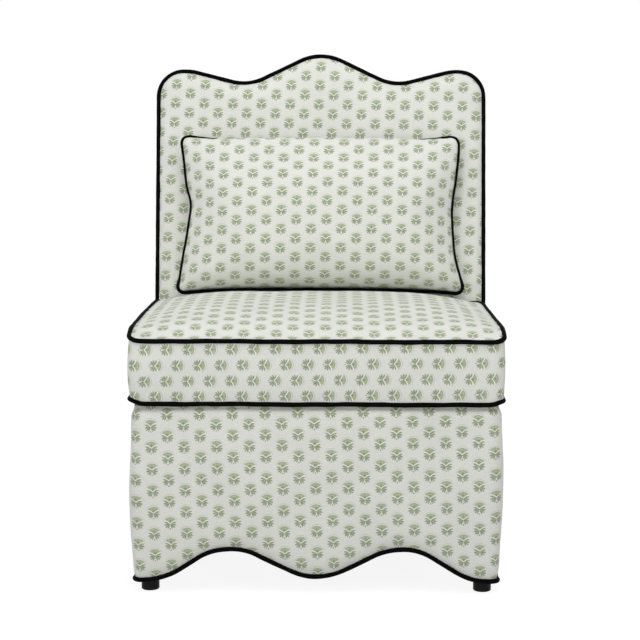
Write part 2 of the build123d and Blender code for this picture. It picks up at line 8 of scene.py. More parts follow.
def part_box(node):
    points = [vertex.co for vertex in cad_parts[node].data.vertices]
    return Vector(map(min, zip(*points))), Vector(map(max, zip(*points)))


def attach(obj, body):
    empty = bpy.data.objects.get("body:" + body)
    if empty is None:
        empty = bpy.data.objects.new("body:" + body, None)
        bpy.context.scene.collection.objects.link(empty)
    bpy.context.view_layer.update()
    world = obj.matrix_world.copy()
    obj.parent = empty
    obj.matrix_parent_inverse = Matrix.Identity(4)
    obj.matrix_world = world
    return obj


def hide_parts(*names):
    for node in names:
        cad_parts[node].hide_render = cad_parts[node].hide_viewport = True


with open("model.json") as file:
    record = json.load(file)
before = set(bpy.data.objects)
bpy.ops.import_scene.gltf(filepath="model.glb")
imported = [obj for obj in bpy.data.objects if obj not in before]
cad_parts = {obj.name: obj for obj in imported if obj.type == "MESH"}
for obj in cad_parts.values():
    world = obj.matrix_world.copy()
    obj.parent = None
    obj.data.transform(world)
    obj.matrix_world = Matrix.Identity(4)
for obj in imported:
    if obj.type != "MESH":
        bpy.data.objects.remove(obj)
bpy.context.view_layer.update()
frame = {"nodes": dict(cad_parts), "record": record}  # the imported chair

scene = bpy.context.scene
scene.view_settings.view_transform = "Standard"
print("chair frame loaded:", len(frame["nodes"]), "nodes")

fullTurn = 2 * math.pi
anyPhase = 6.28  # range of the random phases
weltRadius = 0.00325
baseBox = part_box("base_cover")
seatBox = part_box("seat_top_welt")
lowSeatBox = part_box("seat_bottom_welt")
chair = {
    "tilt": math.radians(10),  # recline of the backrest
    "frontY": baseBox[0].y,
    "rearY": baseBox[1].y,
    "halfWidth": baseBox[1].x,
    "deckTop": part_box("deck_cloth")[1].z,
    "seatTop": seatBox[1].z - weltRadius,
    "seatLow": lowSeatBox[0].z + weltRadius,
    "backFootY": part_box("back_welt")[0].y + weltRadius,
    "clothThick": 0.0012,
}
lean = np.array([0.0, math.sin(chair["tilt"]), math.cos(chair["tilt"])])  # up the slope of the back
ahead = np.array([0.0, -math.cos(chair["tilt"]), math.sin(chair["tilt"])])  # square to it, forwards


# small maths
def clamp(value):
    return np.clip(value, 0, 1)


def ease(value, low, high):
    t = clamp((value - low) / (high - low))
    return t * t * (3 - 2 * t)


def ripple(along, waves, seed):
    rng = np.random.RandomState(seed)
    total = np.zeros_like(along, dtype=float)
    for length, size in waves:
        total += size * np.sin(fullTurn * along / length + rng.rand() * anyPhase)
    return total


def unevenness(x, y, waves, seed):
    rng = np.random.RandomState(seed)
    total = np.zeros_like(x, dtype=float)
    for length, size in waves:
        for _ in range(3):
            turn = rng.rand() * anyPhase
            along = x * math.cos(turn) + y * math.sin(turn)
            total += size / 1.7 * np.sin(fullTurn * along / length + rng.rand() * anyPhase)
    return total


def join(*parts):
    return np.stack(np.broadcast_arrays(*parts), axis=-1)


def unit(vectors):
    return vectors / np.linalg.norm(vectors, axis=-1, keepdims=True)


# places from -1 to 1 that crowd towards both ends
def crowded(count, even):
    t = np.linspace(-1, 1, count)
    return even * t + (1 - even) * np.sin(t * math.pi / 2)


# line through level turning points (place, height, bend radius): arc, straight, arc
def waveLine(turns, steps=14):
    line = [turns[0][:2]]
    t = np.arange(steps + 1) / steps
    for (xa, za, ra), (xb, zb, rb) in zip(turns, turns[1:]):
        run = xb - xa
        rise = abs(zb - za)
        way = 1 if zb > za else -1
        tight = min(1.0, 0.98 * (run ** 2 + rise ** 2) / (2 * rise) / (ra + rb))
        ra = ra * tight
        rb = rb * tight
        spread = math.hypot(run, ra + rb - rise)
        turn = t * (math.atan2(run, ra + rb - rise) - math.acos((ra + rb) / spread))
        line.append(join(xa + ra * np.sin(turn), za + way * ra * (1 - np.cos(turn)))[1:])
        line.append(join(xb - rb * np.sin(turn), zb - way * rb * (1 - np.cos(turn)))[::-1])
    return np.vstack(line)


def lengthsAlong(line):
    return np.concatenate([[0], np.cumsum(np.linalg.norm(np.diff(line, axis=0), axis=1))])


def respace(line, count):
    reach = lengthsAlong(line)
    places = np.linspace(0, reach[-1], count)
    return join(*[np.interp(places, reach, values) for values in line.T])


# direction of a closed line at each of its points
def wayRound(line):
    return np.roll(line, -1, axis=0) - np.roll(line, 1, axis=0)


# each point's distance from a line, and how far along the line it is
def nearLine(points, line):
    reach = lengthsAlong(line)
    flat = points.reshape(-1, 2)
    far = []
    along = []
    for part in np.array_split(flat, len(flat) // 2000 + 1):
        gaps = np.linalg.norm(part[:, None] - line[None], axis=2)
        far.append(gaps.min(axis=1))
        along.append(reach[gaps.argmin(axis=1)])
    shape = points.shape[:-1]
    return np.concatenate(far).reshape(shape), np.concatenate(along).reshape(shape)


# rounds off a corner of a square grid: a and b run from 0 to 1 over the corner
def roundCorner(a, b):
    return a * np.sqrt(1 - b * b / 2), b * np.sqrt(1 - a * a / 2)


# grids
def gridIndex(shape):
    return np.arange(shape[0] * shape[1]).reshape(shape[:2])


# the four corners of each square of a grid
def squares(table):
    return np.stack([table[:-1, :-1], table[:-1, 1:], table[1:, 1:], table[1:, :-1]], axis=2)


def rimOf(shape):
    rim = np.ones(shape, dtype=bool)
    rim[1:-1, 1:-1] = False
    return rim


# mesh builders
def facedPiece(name, points, quads, quadUv):
    mesh = bpy.data.meshes.new(name)
    mesh.from_pydata(points.reshape(-1, 3).tolist(), [], quads.reshape(-1, 4).tolist())
    layer = mesh.uv_layers.new(name="cloth")
    layer.data.foreach_set("uv", np.ascontiguousarray(quadUv, dtype=np.float32).ravel())
    mesh.shade_smooth()
    piece = bpy.data.objects.new(name, mesh)
    scene.collection.objects.link(piece)
    return piece


def gridPiece(name, points, uv, wrap=False, wrapRows=False, flip=False):
    index = gridIndex(points.shape)
    if wrap:
        index = np.hstack([index, index[:, :1]])
    if wrapRows:
        index = np.vstack([index, index[:1]])
    way = -1 if flip else 1
    return facedPiece(name, points, squares(index)[:, :, ::way], squares(uv)[:, :, ::way])


def dress(piece, body, slotName, nodes, thick=0.0):
    piece.data.materials.append(finishes[slotName])
    if thick:
        solid = piece.modifiers.new("clothThickness", "SOLIDIFY")
        solid.thickness = thick
        solid.offset = -1
    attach(piece, body)
    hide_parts(*nodes)


# printed cover with its padding
def dressPadded(piece, body, nodes, thick=chair["clothThick"]):
    dress(piece, body, "print_cloth", nodes, thick)


# piping: a round tube along a path; outward points away from the padding
def makeCord(name, path, outward, radius, closed, seed, body, cadNode, sides=12):
    tangent = unit(wayRound(path) if closed else np.gradient(path, axis=0))
    side = unit(np.cross(tangent, outward))
    out = np.cross(side, tangent)
    reach = lengthsAlong(np.vstack([path, path[:1]]))
    swell = radius * (1 + ripple(reach[:-1], [(0.031, 0.018), (0.083, 0.02), (0.19, 0.02)], seed))
    angle = np.linspace(0, fullTurn, sides, endpoint=False)
    ring = np.cos(angle)[None, :, None] * out[:, None] + np.sin(angle)[None, :, None] * side[:, None]
    lengths = reach if closed else reach[:-1]
    uv = join(lengths[:, None], np.linspace(0, fullTurn, sides + 1) * radius)
    cord = gridPiece(name, path[:, None] + swell[:, None, None] * ring, uv, wrap=True, wrapRows=closed)
    dress(cord, body, "black_piping", [cadNode])


# shader nodes: sums and products of these outputs make Math nodes
class Wire:
    def __init__(self, socket):
        self.socket = socket
        self.tree = socket.id_data

    def __add__(self, other):
        return maths("ADD", self, other)

    def __sub__(self, other):
        return maths("SUBTRACT", self, other)

    def __rsub__(self, other):
        return maths("SUBTRACT", other, self)

    def __mul__(self, other):
        return maths("MULTIPLY", self, other)

    def __truediv__(self, other):
        return maths("DIVIDE", self, other)

    def __abs__(self):
        return maths("ABSOLUTE", self)


def feed(socket, value):
    if isinstance(value, Wire):
        value.tree.links.new(value.socket, socket)
    else:
        socket.default_value = value


def node(tree, kind, inputs=(), **settings):
    made = tree.nodes.new(kind)
    for key, value in settings.items():
        setattr(made, key, value)
    for key, value in dict(inputs).items():
        feed(made.inputs[key], value)
    return made


def wire(tree, kind, inputs=(), output=0, **settings):
    return Wire(node(tree, kind, inputs, **settings).outputs[output])


def maths(operation, *values):
    tree = next(value.tree for value in values if isinstance(value, Wire))
    return wire(tree, "ShaderNodeMath", dict(enumerate(values)), operation=operation)


def larger(first, second):
    return maths("MAXIMUM", first, second)


def sineOf(value, length):
    return maths("SINE", value * (fullTurn / length))


def split(vector):
    return [Wire(socket) for socket in node(vector.tree, "ShaderNodeSeparateXYZ", {0: vector}).outputs]


def millimetres(vector):
    return wire(vector.tree, "ShaderNodeVectorMath", {0: vector, 3: 1000.0}, operation="SCALE")


def lengthOf(vector):
    return wire(vector.tree, "ShaderNodeVectorMath", {0: vector}, "Value", operation="LENGTH")


def clothPlace(tree):
    return millimetres(wire(tree, "ShaderNodeUVMap", uv_map="cloth"))


def objectPlace(tree):
    return wire(tree, "ShaderNodeTexCoord", output="Object")


def blend(share, first, second):
    return wire(share.tree, "ShaderNodeMix", {0: share, 6: first, 7: second}, 2, data_type="RGBA")


def greyOf(value):
    return wire(value.tree, "ShaderNodeCombineColor", {0: value, 1: value, 2: value})


def mottle(vector, scale, detail=2.0):
    settings = {"Vector": vector, "Scale": scale, "Detail": detail}
    return wire(vector.tree, "ShaderNodeTexNoise", settings, "Fac")


def cellsOf(vector, scale):
    return wire(vector.tree, "ShaderNodeTexVoronoi", {"Vector": vector, "Scale": scale}, "Distance")


def span(value, low, high, toLow=0.0, toHigh=1.0, kind="LINEAR"):
    return wire(value.tree, "ShaderNodeMapRange", {0: value, 1: low, 2: high, 3: toLow, 4: toHigh},
                interpolation_type=kind)


def tint(red, green, blue):
    shares = [level / 255 for level in (red, green, blue)]
    return (*[c / 12.92 if c < 0.0431 else ((c + 0.055) / 1.055) ** 2.4 for c in shares], 1.0)


def newFinish(name, settings=()):
    material = bpy.data.materials.new(name)
    material.use_nodes = True
    skin = material.node_tree.nodes["Principled BSDF"].inputs
    for key, value in dict(settings).items():
        skin[key].default_value = value
    return material, material.node_tree, skin


def coat(skin, colour, rough, height, strength, distance):
    feed(skin["Base Color"], colour)
    feed(skin["Roughness"], rough)
    relief = {"Height": height, "Strength": strength, "Distance": distance}
    feed(skin["Normal"], wire(height.tree, "ShaderNodeBump", relief))


# small half-dropped sprig on a pale woven ground, drawn in millimetres of cloth
sprig = {
    "ground": tint(231, 232, 225), "leaf": tint(130, 147, 104), "leafCool": tint(144, 159, 126),
    "fan": tint(172, 186, 146), "rim": tint(136, 152, 110), "halo": tint(198, 205, 194),
    "stroke": tint(240, 241, 233),
    "column": 27.0, "drop": 36.3,
    "leaves": ((6.0, 1.6, 3.9, 1.35, 14), (5.9, -1.7, 4.3, 1.6, -17), (4.6, -4.3, 4.3, 1.5, -41),
               (2.5, -5.8, 3.4, 1.15, -64), (1.5, -1.2, 2.3, 1.9, -38)),  # x, y, half sizes, turn
    "fanSize": (9.9, 8.3), "fanPlace": (0.0, 2.5), "coreShare": 0.76, "spokes": 13.0,
    "heart": (0.0, 3.2, 2.6, 3.4),
    "wing": (0.95, 0.04),  # slope of the two strokes, and how much it eases off
    "strokeEnd": (10.2, 9.2), "strokeHalf": (1.3, 0.7),
    "haloPlace": (0.0, 1.9, 0.0), "haloRing": 11.5, "dotPlace": -9.1, "dotSize": 1.25,
    "thread": 0.55,
}


def petal(place, x, y, halfLength, halfWidth, turn=0, soft=0.22):
    local = wire(place.tree, "ShaderNodeMapping", {
        "Vector": place, "Location": (x, y, 0), "Rotation": (0, 0, math.radians(turn)),
        "Scale": (halfLength, halfWidth, 1)}, vector_type="TEXTURE")
    return span(lengthOf(local), 1 + soft, 1 - soft, kind="SMOOTHSTEP")


def makePrintCloth():
    material, tree, skin = newFinish("printCloth", {
        "Specular IOR Level": 0.25, "Sheen Weight": 0.12, "Sheen Roughness": 0.5})
    cloth = clothPlace(tree)
    u, v, _ = split(cloth)
    bleed = (mottle(cloth, 0.9) - 0.5) * 1.1
    column = maths("ROUND", u / sprig["column"])
    odd = maths("MODULO", abs(column), 2.0)
    dropped = v - odd * (sprig["drop"] / 2)
    row = maths("ROUND", dropped / sprig["drop"])
    y = dropped - row * sprig["drop"] + bleed
    half = abs(u - column * sprig["column"]) + bleed * 0.5
    place = wire(tree, "ShaderNodeCombineXYZ", {0: half, 1: y, 2: 0.0})

    leaf = petal(place, 0.0, sprig["dotPlace"], sprig["dotSize"], sprig["dotSize"], soft=0.3)
    for shape in sprig["leaves"]:
        leaf = larger(leaf, petal(place, *shape))
    slope, easing = sprig["wing"]
    above = y - half * (slope - half * easing)  # height over the strokes
    stroke = span(abs(above), *sprig["strokeHalf"], kind="SMOOTHSTEP") * span(half, *sprig["strokeEnd"])
    over = span(above, 0.3, 0.9)
    fan = petal(place, *sprig["fanPlace"], *sprig["fanSize"], soft=0.07) * over
    coreSize = [size * sprig["coreShare"] for size in sprig["fanSize"]]
    core = petal(place, *sprig["fanPlace"], *coreSize, soft=0.09)
    spoke = maths("SINE", maths("ARCTAN2", half, y - 1.0) * sprig["spokes"])
    rim = fan * (1.0 - core) * span(spoke, -0.6, 0.5, 0.35, 1.0)
    heart = petal(place, *sprig["heart"], soft=0.3) * over
    rim = larger(rim * 0.5, heart * 0.8)
    rim = larger(rim, fan * span(above, 2.3, 1.3, 0.0, 0.8))  # darker along the strokes
    fromHalo = wire(tree, "ShaderNodeVectorMath", {0: place, 1: sprig["haloPlace"]}, operation="SUBTRACT")
    halo = span(abs(lengthOf(fromHalo) - sprig["haloRing"]), 0.85, 0.25) * span(y, 4.0, 6.0)

    worn = span(mottle(cloth, 0.45, 4.0), 0.3, 0.62, 0.5, 1.0)  # ink missing between threads
    cool = span(mottle(cloth, 0.14), 0.35, 0.65)  # the green is uneven
    broad = span(mottle(cloth, 0.012), 0.3, 0.7, 0.97, 1.02)
    slub = span(mottle(cloth, 0.42, 4.0), 0.25, 0.75, 0.90, 1.06)
    colour = blend(halo * 0.75, sprig["ground"], sprig["halo"])
    colour = blend(fan * worn, colour, sprig["fan"])
    colour = blend(rim * worn, colour, sprig["rim"])
    colour = blend(leaf * worn, colour, blend(cool, sprig["leaf"], sprig["leafCool"]))
    colour = blend(stroke, colour, sprig["stroke"])
    toned = wire(tree, "ShaderNodeMix", {0: 1.0, 6: colour, 7: greyOf(broad * slub)}, 2,
                 data_type="RGBA", blend_type="MULTIPLY")
    rough = span(mottle(cloth, 1.6), 0.3, 0.7, 0.8, 0.92)
    weave = sineOf(u, sprig["thread"]) * sineOf(v, sprig["thread"])
    coat(skin, toned, rough, weave + mottle(cloth, 0.5, 4.0) * 4.0, 0.4, 0.0004)
    return material


# black bias-cut covering of the piping
piping = {
    "colour": tint(4, 4, 4), "worn": tint(16, 16, 15), "twill": 0.9,
    "back": 0.0040, "base": 0.0040, "seat": 0.0040, "pillow": 0.0031,  # how thick it looks on each piece
}


def makePiping():
    material, tree, skin = newFinish("blackPiping", {"Specular IOR Level": 0.03})
    cloth = clothPlace(tree)
    u, v, _ = split(cloth)
    ridge = sineOf(u + v, piping["twill"])
    lint = mottle(cloth, 1.4, 4.0)
    share = span(ridge, -0.2, 1.0) * span(lint, 0.35, 0.75, 0.1, 0.8)
    colour = blend(share, piping["colour"], piping["worn"])
    coat(skin, colour, span(lint, 0.3, 0.7, 0.6, 0.8), ridge + lint * 1.5, 0.3, 0.0003)
    return material


# plain woven or felted cloth by object position
def makePlainCloth(name, light, dark, thread, felted=False):
    material, tree, skin = newFinish(name, {"Specular IOR Level": 0.2})
    spot = millimetres(objectPlace(tree))
    if felted:
        height = cellsOf(spot, 1 / thread) + mottle(spot, 1.7, 4.0)
    else:
        x, y, _ = split(spot)
        height = sineOf(x, thread) * sineOf(y, thread) + mottle(spot, 0.8, 3.0)
    share = span(height, 0.0, 1.2) * span(mottle(spot, 0.03), 0.3, 0.7, 0.6, 1.0)
    coat(skin, blend(share, dark, light), 0.9, height, 0.3, 0.0004)
    return material


# sawn wood and plywood: grain along one axis, plies show as lines on the cut edges
def makeWood(name, light, dark, grainAxis, plies=False):
    material, tree, skin = newFinish(name)
    spot = objectPlace(tree)
    stretch = [90.0, 90.0, 90.0]
    stretch[grainAxis] = 5.0
    grain = wire(tree, "ShaderNodeMapping", {"Vector": spot, "Scale": stretch})
    fibre = mottle(grain, 6.0, 3.0)
    share = mottle(grain, 1.0, 5.0) * 0.7 + fibre * 0.3
    colour = blend(span(share, 0.32, 0.68), light, dark)
    if plies:
        knot = span(mottle(spot, 14.0), 0.62, 0.72, 0.0, 0.35)
        colour = blend(knot * span(mottle(spot, 3.0), 0.4, 0.6), colour, tint(118, 82, 48))
        band = sineOf(split(spot)[2], 0.19)
        colour = blend(span(band, -1.0, 1.0, 0.0, 0.08), colour, dark)
    coat(skin, colour, span(fibre, 0.3, 0.7, 0.5, 0.75), share, 0.25, 0.0004)
    return material


# foam and fibre filling
def makeFilling(name, light, dark, cell):
    material, tree, skin = newFinish(name, {"Specular IOR Level": 0.1})
    spot = objectPlace(tree)
    cells = cellsOf(spot, 1 / cell)
    share = span(cells, 0.1, 0.7) * span(mottle(spot, 30.0), 0.3, 0.7, 0.5, 1.0)
    coat(skin, blend(share, light, dark), 0.95, cells, 0.4, 0.0008)
    return material


# steel, plated or drawn
def makeSteel(name, light, dark, metallic, roughLow, roughHigh):
    material, tree, skin = newFinish(name, {"Metallic": metallic})
    spot = objectPlace(tree)
    fine = mottle(spot, 900.0)
    bloom = span(mottle(spot, 120.0, 4.0), 0.35, 0.65)
    coat(skin, blend(bloom, light, dark), span(fine, 0.3, 0.7, roughLow, roughHigh), fine, 0.1, 0.0002)
    return material


# moulded black plastic of the glides
def makePlastic(name, light, dark):
    material, tree, skin = newFinish(name, {"Specular IOR Level": 0.12})
    spot = objectPlace(tree)
    scuff = mottle(spot, 160.0, 5.0)
    low = span(split(spot)[2], 0.0, 0.006, 1.0, 0.0)
    share = span(scuff, 0.5, 0.7) * (low + 0.15)
    rough = span(scuff, 0.3, 0.7, 0.38, 0.6)
    coat(skin, blend(share, dark, light), rough, cellsOf(spot, 1400.0), 0.12, 0.0003)
    return material


# zip: knitted tape with a coil of teeth along its middle
def makeZip(name):
    material, tree, skin = newFinish(name)
    x, _, z = split(objectPlace(tree))
    height = sineOf(x, 0.0016) + sineOf(z, 0.0011) * 0.5
    share = span(height, -1.0, 1.4)
    colour = blend(share, tint(14, 14, 14), tint(52, 52, 50))
    coat(skin, colour, span(share, 0.0, 1.0, 0.75, 0.45), height, 0.5, 0.0004)
    return material


finishes = {
    "print_cloth": makePrintCloth(),
    "black_piping": makePiping(),
    "deck_cloth": makePlainCloth("deckCotton", tint(226, 222, 209), tint(186, 180, 163), 0.9),
    "dust_cloth": makePlainCloth("dustFelt", tint(50, 50, 50), tint(24, 24, 24), 1.3, felted=True),
    "foam": makeFilling("seatFoam", tint(236, 226, 192), tint(206, 190, 146), 0.0016),
    "fibre": makeFilling("fibreWadding", tint(240, 239, 234), tint(214, 212, 204), 0.003),
    "plywood": makeWood("plywoodBoards", tint(214, 182, 136), tint(178, 138, 90), 0, plies=True),
    "hardwood": makeWood("sawnHardwood", tint(196, 158, 110), tint(150, 108, 66), 2),
    "webbing": makePlainCloth("juteWebbing", tint(196, 170, 122), tint(136, 108, 66), 2.4),
    "spring_steel": makeSteel("springSteel", tint(120, 120, 122), tint(74, 74, 76), 1.0, 0.3, 0.5),
    "zinc_steel": makeSteel("zincSteel", tint(206, 206, 200), tint(160, 160, 150), 1.0, 0.25, 0.45),
    "black_plastic": makePlastic("footPlastic", tint(34, 34, 34), tint(6, 6, 6)),
    "zip_tape": makeZip("zipTape"),
    "zip_metal": makeSteel("zipMetal", tint(70, 70, 70), tint(36, 36, 36), 0.8, 0.3, 0.5),
}
slotOf = {part["node"]: part["material_slot"] for part in frame["record"]["subparts"]}
for name, cadNode in frame["nodes"].items():
    cadNode.data.materials.clear()
    cadNode.data.materials.append(finishes[slotOf[name]])
print("finishes made:", len(finishes))

# the print on each panel, in millimetres: two steps of the repeat and one sprig's place
printSteps = {
    "base": ((26.41, 18.66), (-27.32, 17.61), (4.2, -3.3)),
    "back": ((28.37, 18.08), (-26.42, 18.59), (-0.9, 25.3)),
    "pillow": ((28.46, 17.77), (-27.46, 17.45), (5.3, -3.2)),
    "boxing": ((17.26, -25.84), (18.3, 26.25), (-4.8, -5.1)),  # strip cut along the cloth
    "seat": ((26.8, 18.15), (-26.8, 18.15), (-12.2, 19.5)),
    "plain": ((27.0, 18.15), (-27.0, 18.15), (0.0, 0.0)),
}


def printUv(panel, across, up):
    right, left, start = printSteps[panel]
    steps = np.array([right, left]).T
    drawn = np.array([(sprig["column"], sprig["drop"] / 2), (-sprig["column"], sprig["drop"] / 2)]).T
    offset = join(across * 1000 - start[0], up * 1000 - start[1])
    return offset @ (drawn @ np.linalg.inv(steps)).T * 0.001


# point on the sloping plane of the back: across, up the slope and forwards from it
def slopePoint(origin, across, up, forward):
    across, up, forward = np.broadcast_arrays(across, up, forward)
    return origin + join(across, 0, 0) + up[..., None] * lean + forward[..., None] * ahead


# backrest: outline on its own sloping plane, across and up the slope
back = {
    "half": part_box("back_welt")[1].x - weltRadius,
    "centreRise": 0.580, "valleyRise": 0.528, "hornRise": 0.5505,
    "centrePlace": 0.0, "valleyPlace": 0.14906, "hornPlace": 0.259, "bend": 0.090, "corner": 0.048,
    "depth": 0.0967, "foot": 0.001,
    "crown": 0.012, "roll": 0.034, "belly": 0.003, "bellyReach": 0.11, "tuck": 0.0008,
    "pucker": 0.0009, "gatherReach": 0.022,
    "boxingSwell": 0.0018, "boxingTuck": 0.0012, "boxingPucker": 0.0005,
    "rearTuck": 0.0015, "rearBelly": 0.0022,
}
crestTurns = [("horn", -1), ("valley", -1), ("centre", 0), ("valley", 1), ("horn", 1)]


def backPoint(across, up, forward):
    return slopePoint(np.array([0.0, chair["backFootY"], chair["deckTop"]]), across, up, forward)


def backOutline(foot, count):
    half = back["half"]
    corner = back["corner"]
    crest = waveLine([(way * back[turn + "Place"], back[turn + "Rise"], back["bend"])
                      for turn, way in crestTurns])
    angle = np.linspace(math.pi, math.pi / 2, 16)
    left = join(-half + corner + corner * np.cos(angle), back["hornRise"] - corner + corner * np.sin(angle))
    side = np.vstack([[(-half, foot)], left])
    return respace(np.vstack([side, crest, side[::-1] * (-1, 1)]), count)


crestLine = backOutline(0.0, 1400)


# square grid drawn up under the wavy crest, with its two upper corners rounded
def backGrid(columns, rows):
    half = back["half"]
    corner = back["corner"]
    horn = back["hornRise"]
    x = np.tile(half * crowded(columns, 0.8), (rows, 1))
    top = crestLine[abs(crestLine[:, 0]) < half - corner]
    rise = np.interp(x, [-half, *top[:, 0], half], [horn, *top[:, 1], horn])
    share = np.linspace(0, 1, rows)[:, None]
    v = back["foot"] + (rise - back["foot"]) * (1.3 * share - 0.3 * share ** 2)
    a = clamp((abs(x) - (half - corner)) / corner)
    b = clamp((v - (horn - corner)) / corner)
    roundA, roundB = roundCorner(a, b)
    inCorner = (a > 0) & (b > 0)
    x = np.where(inCorner, np.sign(x) * (half - corner + corner * roundA), x)
    v = np.where(inCorner, horn - corner + corner * roundB, v)
    return x, v


def makeBack():
    x, v = backGrid(151, 131)
    far, along = nearLine(join(x, v), crestLine)
    q = clamp((far - 0.8 * weltRadius) / back["roll"])  # flat under the piping, then rolls up
    forward = -back["tuck"] + (back["crown"] + back["tuck"]) * (1 - (1 - q) ** 2.2) ** 0.7
    forward += back["belly"] * (1 - np.exp(-far / back["bellyReach"]))
    gathers = ripple(along, [(0.023, 0.5), (0.037, 0.7), (0.071, 0.6), (0.15, 0.5)], 11)
    forward += back["pucker"] * gathers * ease(far, 0, 0.006) * np.exp(-far / back["gatherReach"])
    forward += unevenness(x, v, [(0.21, 0.0007), (0.12, 0.0003)], 5) * ease(far, 0.01, 0.06)
    front = gridPiece("backFrontCover", backPoint(x, v, forward), printUv("back", x, v))
    dressPadded(front, "chair", ["back_front_cover", "back_foam"])

    line = backOutline(0.0004, 521)
    slope = np.gradient(line, axis=0)
    out = unit(join(-slope[:, 1], slope[:, 0]))
    reach = lengthsAlong(line)
    q = np.linspace(0, 1, 19)[:, None]
    swell = back["boxingSwell"] * np.sin(math.pi * q) ** 0.7 - back["boxingTuck"]
    gathers = ripple(reach, [(0.029, 0.5), (0.047, 0.6)], 3)
    swell = swell + back["boxingPucker"] * gathers * np.exp(-q / 0.1)
    edge = line[None] + swell[..., None] * out[None]
    depth = -back["boxingTuck"] - q * (back["depth"] - 0.0020)
    boxing = gridPiece("backBoxing", backPoint(edge[..., 0], edge[..., 1], depth),
                       printUv("plain", reach[None] - reach[-1] / 2, depth))
    dressPadded(boxing, "chair", ["back_boxing", "back_edge_padding"])

    x, v = backGrid(101, 91)
    far, _ = nearLine(join(x, v), crestLine)
    rear = -back["depth"] + back["rearTuck"] * np.exp(-far / 0.004)
    rear -= back["rearBelly"] * (1 - np.exp(-far / 0.06))
    rear -= unevenness(x, v, [(0.25, 0.0005)], 8) * ease(far, 0.01, 0.08)
    shrink = 1 - back["tuck"] / back["half"]
    points = backPoint(x * shrink, v * shrink, rear)
    panel = gridPiece("outsideBackCover", points, printUv("back", -x, v), flip=True)
    dressPadded(panel, "chair", ["outside_back_cover"])

    line = backOutline(0.0008, 900)
    wobble = ripple(lengthsAlong(line), [(0.06, 0.0002), (0.17, 0.0003)], 9)
    path = backPoint(line[:, 0], line[:, 1], wobble)
    makeCord("backPiping", path, ahead, piping["back"], False, 21, "chair", "back_welt")


makeBack()
print("backrest covered")

# base: cover wrapped round the box, turned under the wavy apron
base = {
    "frontRadius": 0.022, "rearRadius": 0.005,
    "cornerHeight": 0.022, "centreHeight": 0.028, "archHeight": 0.075, "bend": 0.100,
    "swell": 0.0042, "cornerDraw": 0.0032, "cornerReach": 0.07, "cornerRise": 0.16, "leftTuck": 0.006,
    "hemDraw": 0.0062, "hemRoll": 0.030, "topRoll": 0.0135, "topGap": 0.0022, "pucker": 0.0007,
    "hemWidth": 0.0232, "rearHem": 0.008, "pipingOut": 0.0020,
    "hemTurn": ((1.0, 0.014), (1.0, 0.006), (1.0, 0.0012), (0.97, -0.0010), (0.66, -0.0012),
                (0.33, -0.0012)),  # share of the hem's width, and rise from its edge
    "topTurn": (0.011, 0.016),  # rows turned in over the deck
    "rows": 54,
}
apronTurns = [(-1.0, "cornerHeight"), (-0.5, "archHeight"), (0.0, "centreHeight"), (0.5, "archHeight"),
              (1.0, "cornerHeight")]
planCounts = {"rear": 70, "rearArc": 6, "side": 120, "frontArc": 16, "front": 70}


def apronLine(half):
    return waveLine([(share * half, base[level], base["bend"]) for share, level in apronTurns])


# closed plan of a rounded box, clockwise from below from the middle of the rear
def planLoop(half, front, rear, frontRadius, rearRadius):
    t = {name: np.linspace(0, 1, count, endpoint=False) for name, count in planCounts.items()}
    rearTurn = t["rearArc"] * math.pi / 2
    frontTurn = t["frontArc"] * math.pi / 2
    rearX = half - rearRadius
    rearY = rear - rearRadius
    frontX = half - frontRadius
    frontY = front + frontRadius
    left = np.vstack([
        join(-t["rear"] * rearX, rear),
        join(-rearX - rearRadius * np.sin(rearTurn), rearY + rearRadius * np.cos(rearTurn)),
        join(-half, rearY - t["side"] * (rearY - frontY)),
        join(-frontX - frontRadius * np.cos(frontTurn), frontY - frontRadius * np.sin(frontTurn)),
        join((t["front"] - 1) * frontX, front)])
    return np.vstack([left, [(0.0, front)], left[:0:-1] * (-1, 1)])


def outwardOf(loop):
    slope = wayRound(loop)
    return unit(join(slope[:, 1], -slope[:, 0]))


# length round a closed loop from the middle of the front; its start is at both ends
def reachRound(loop):
    reach = lengthsAlong(np.vstack([loop, loop[:1]]))
    return reach - reach[-1] / 2


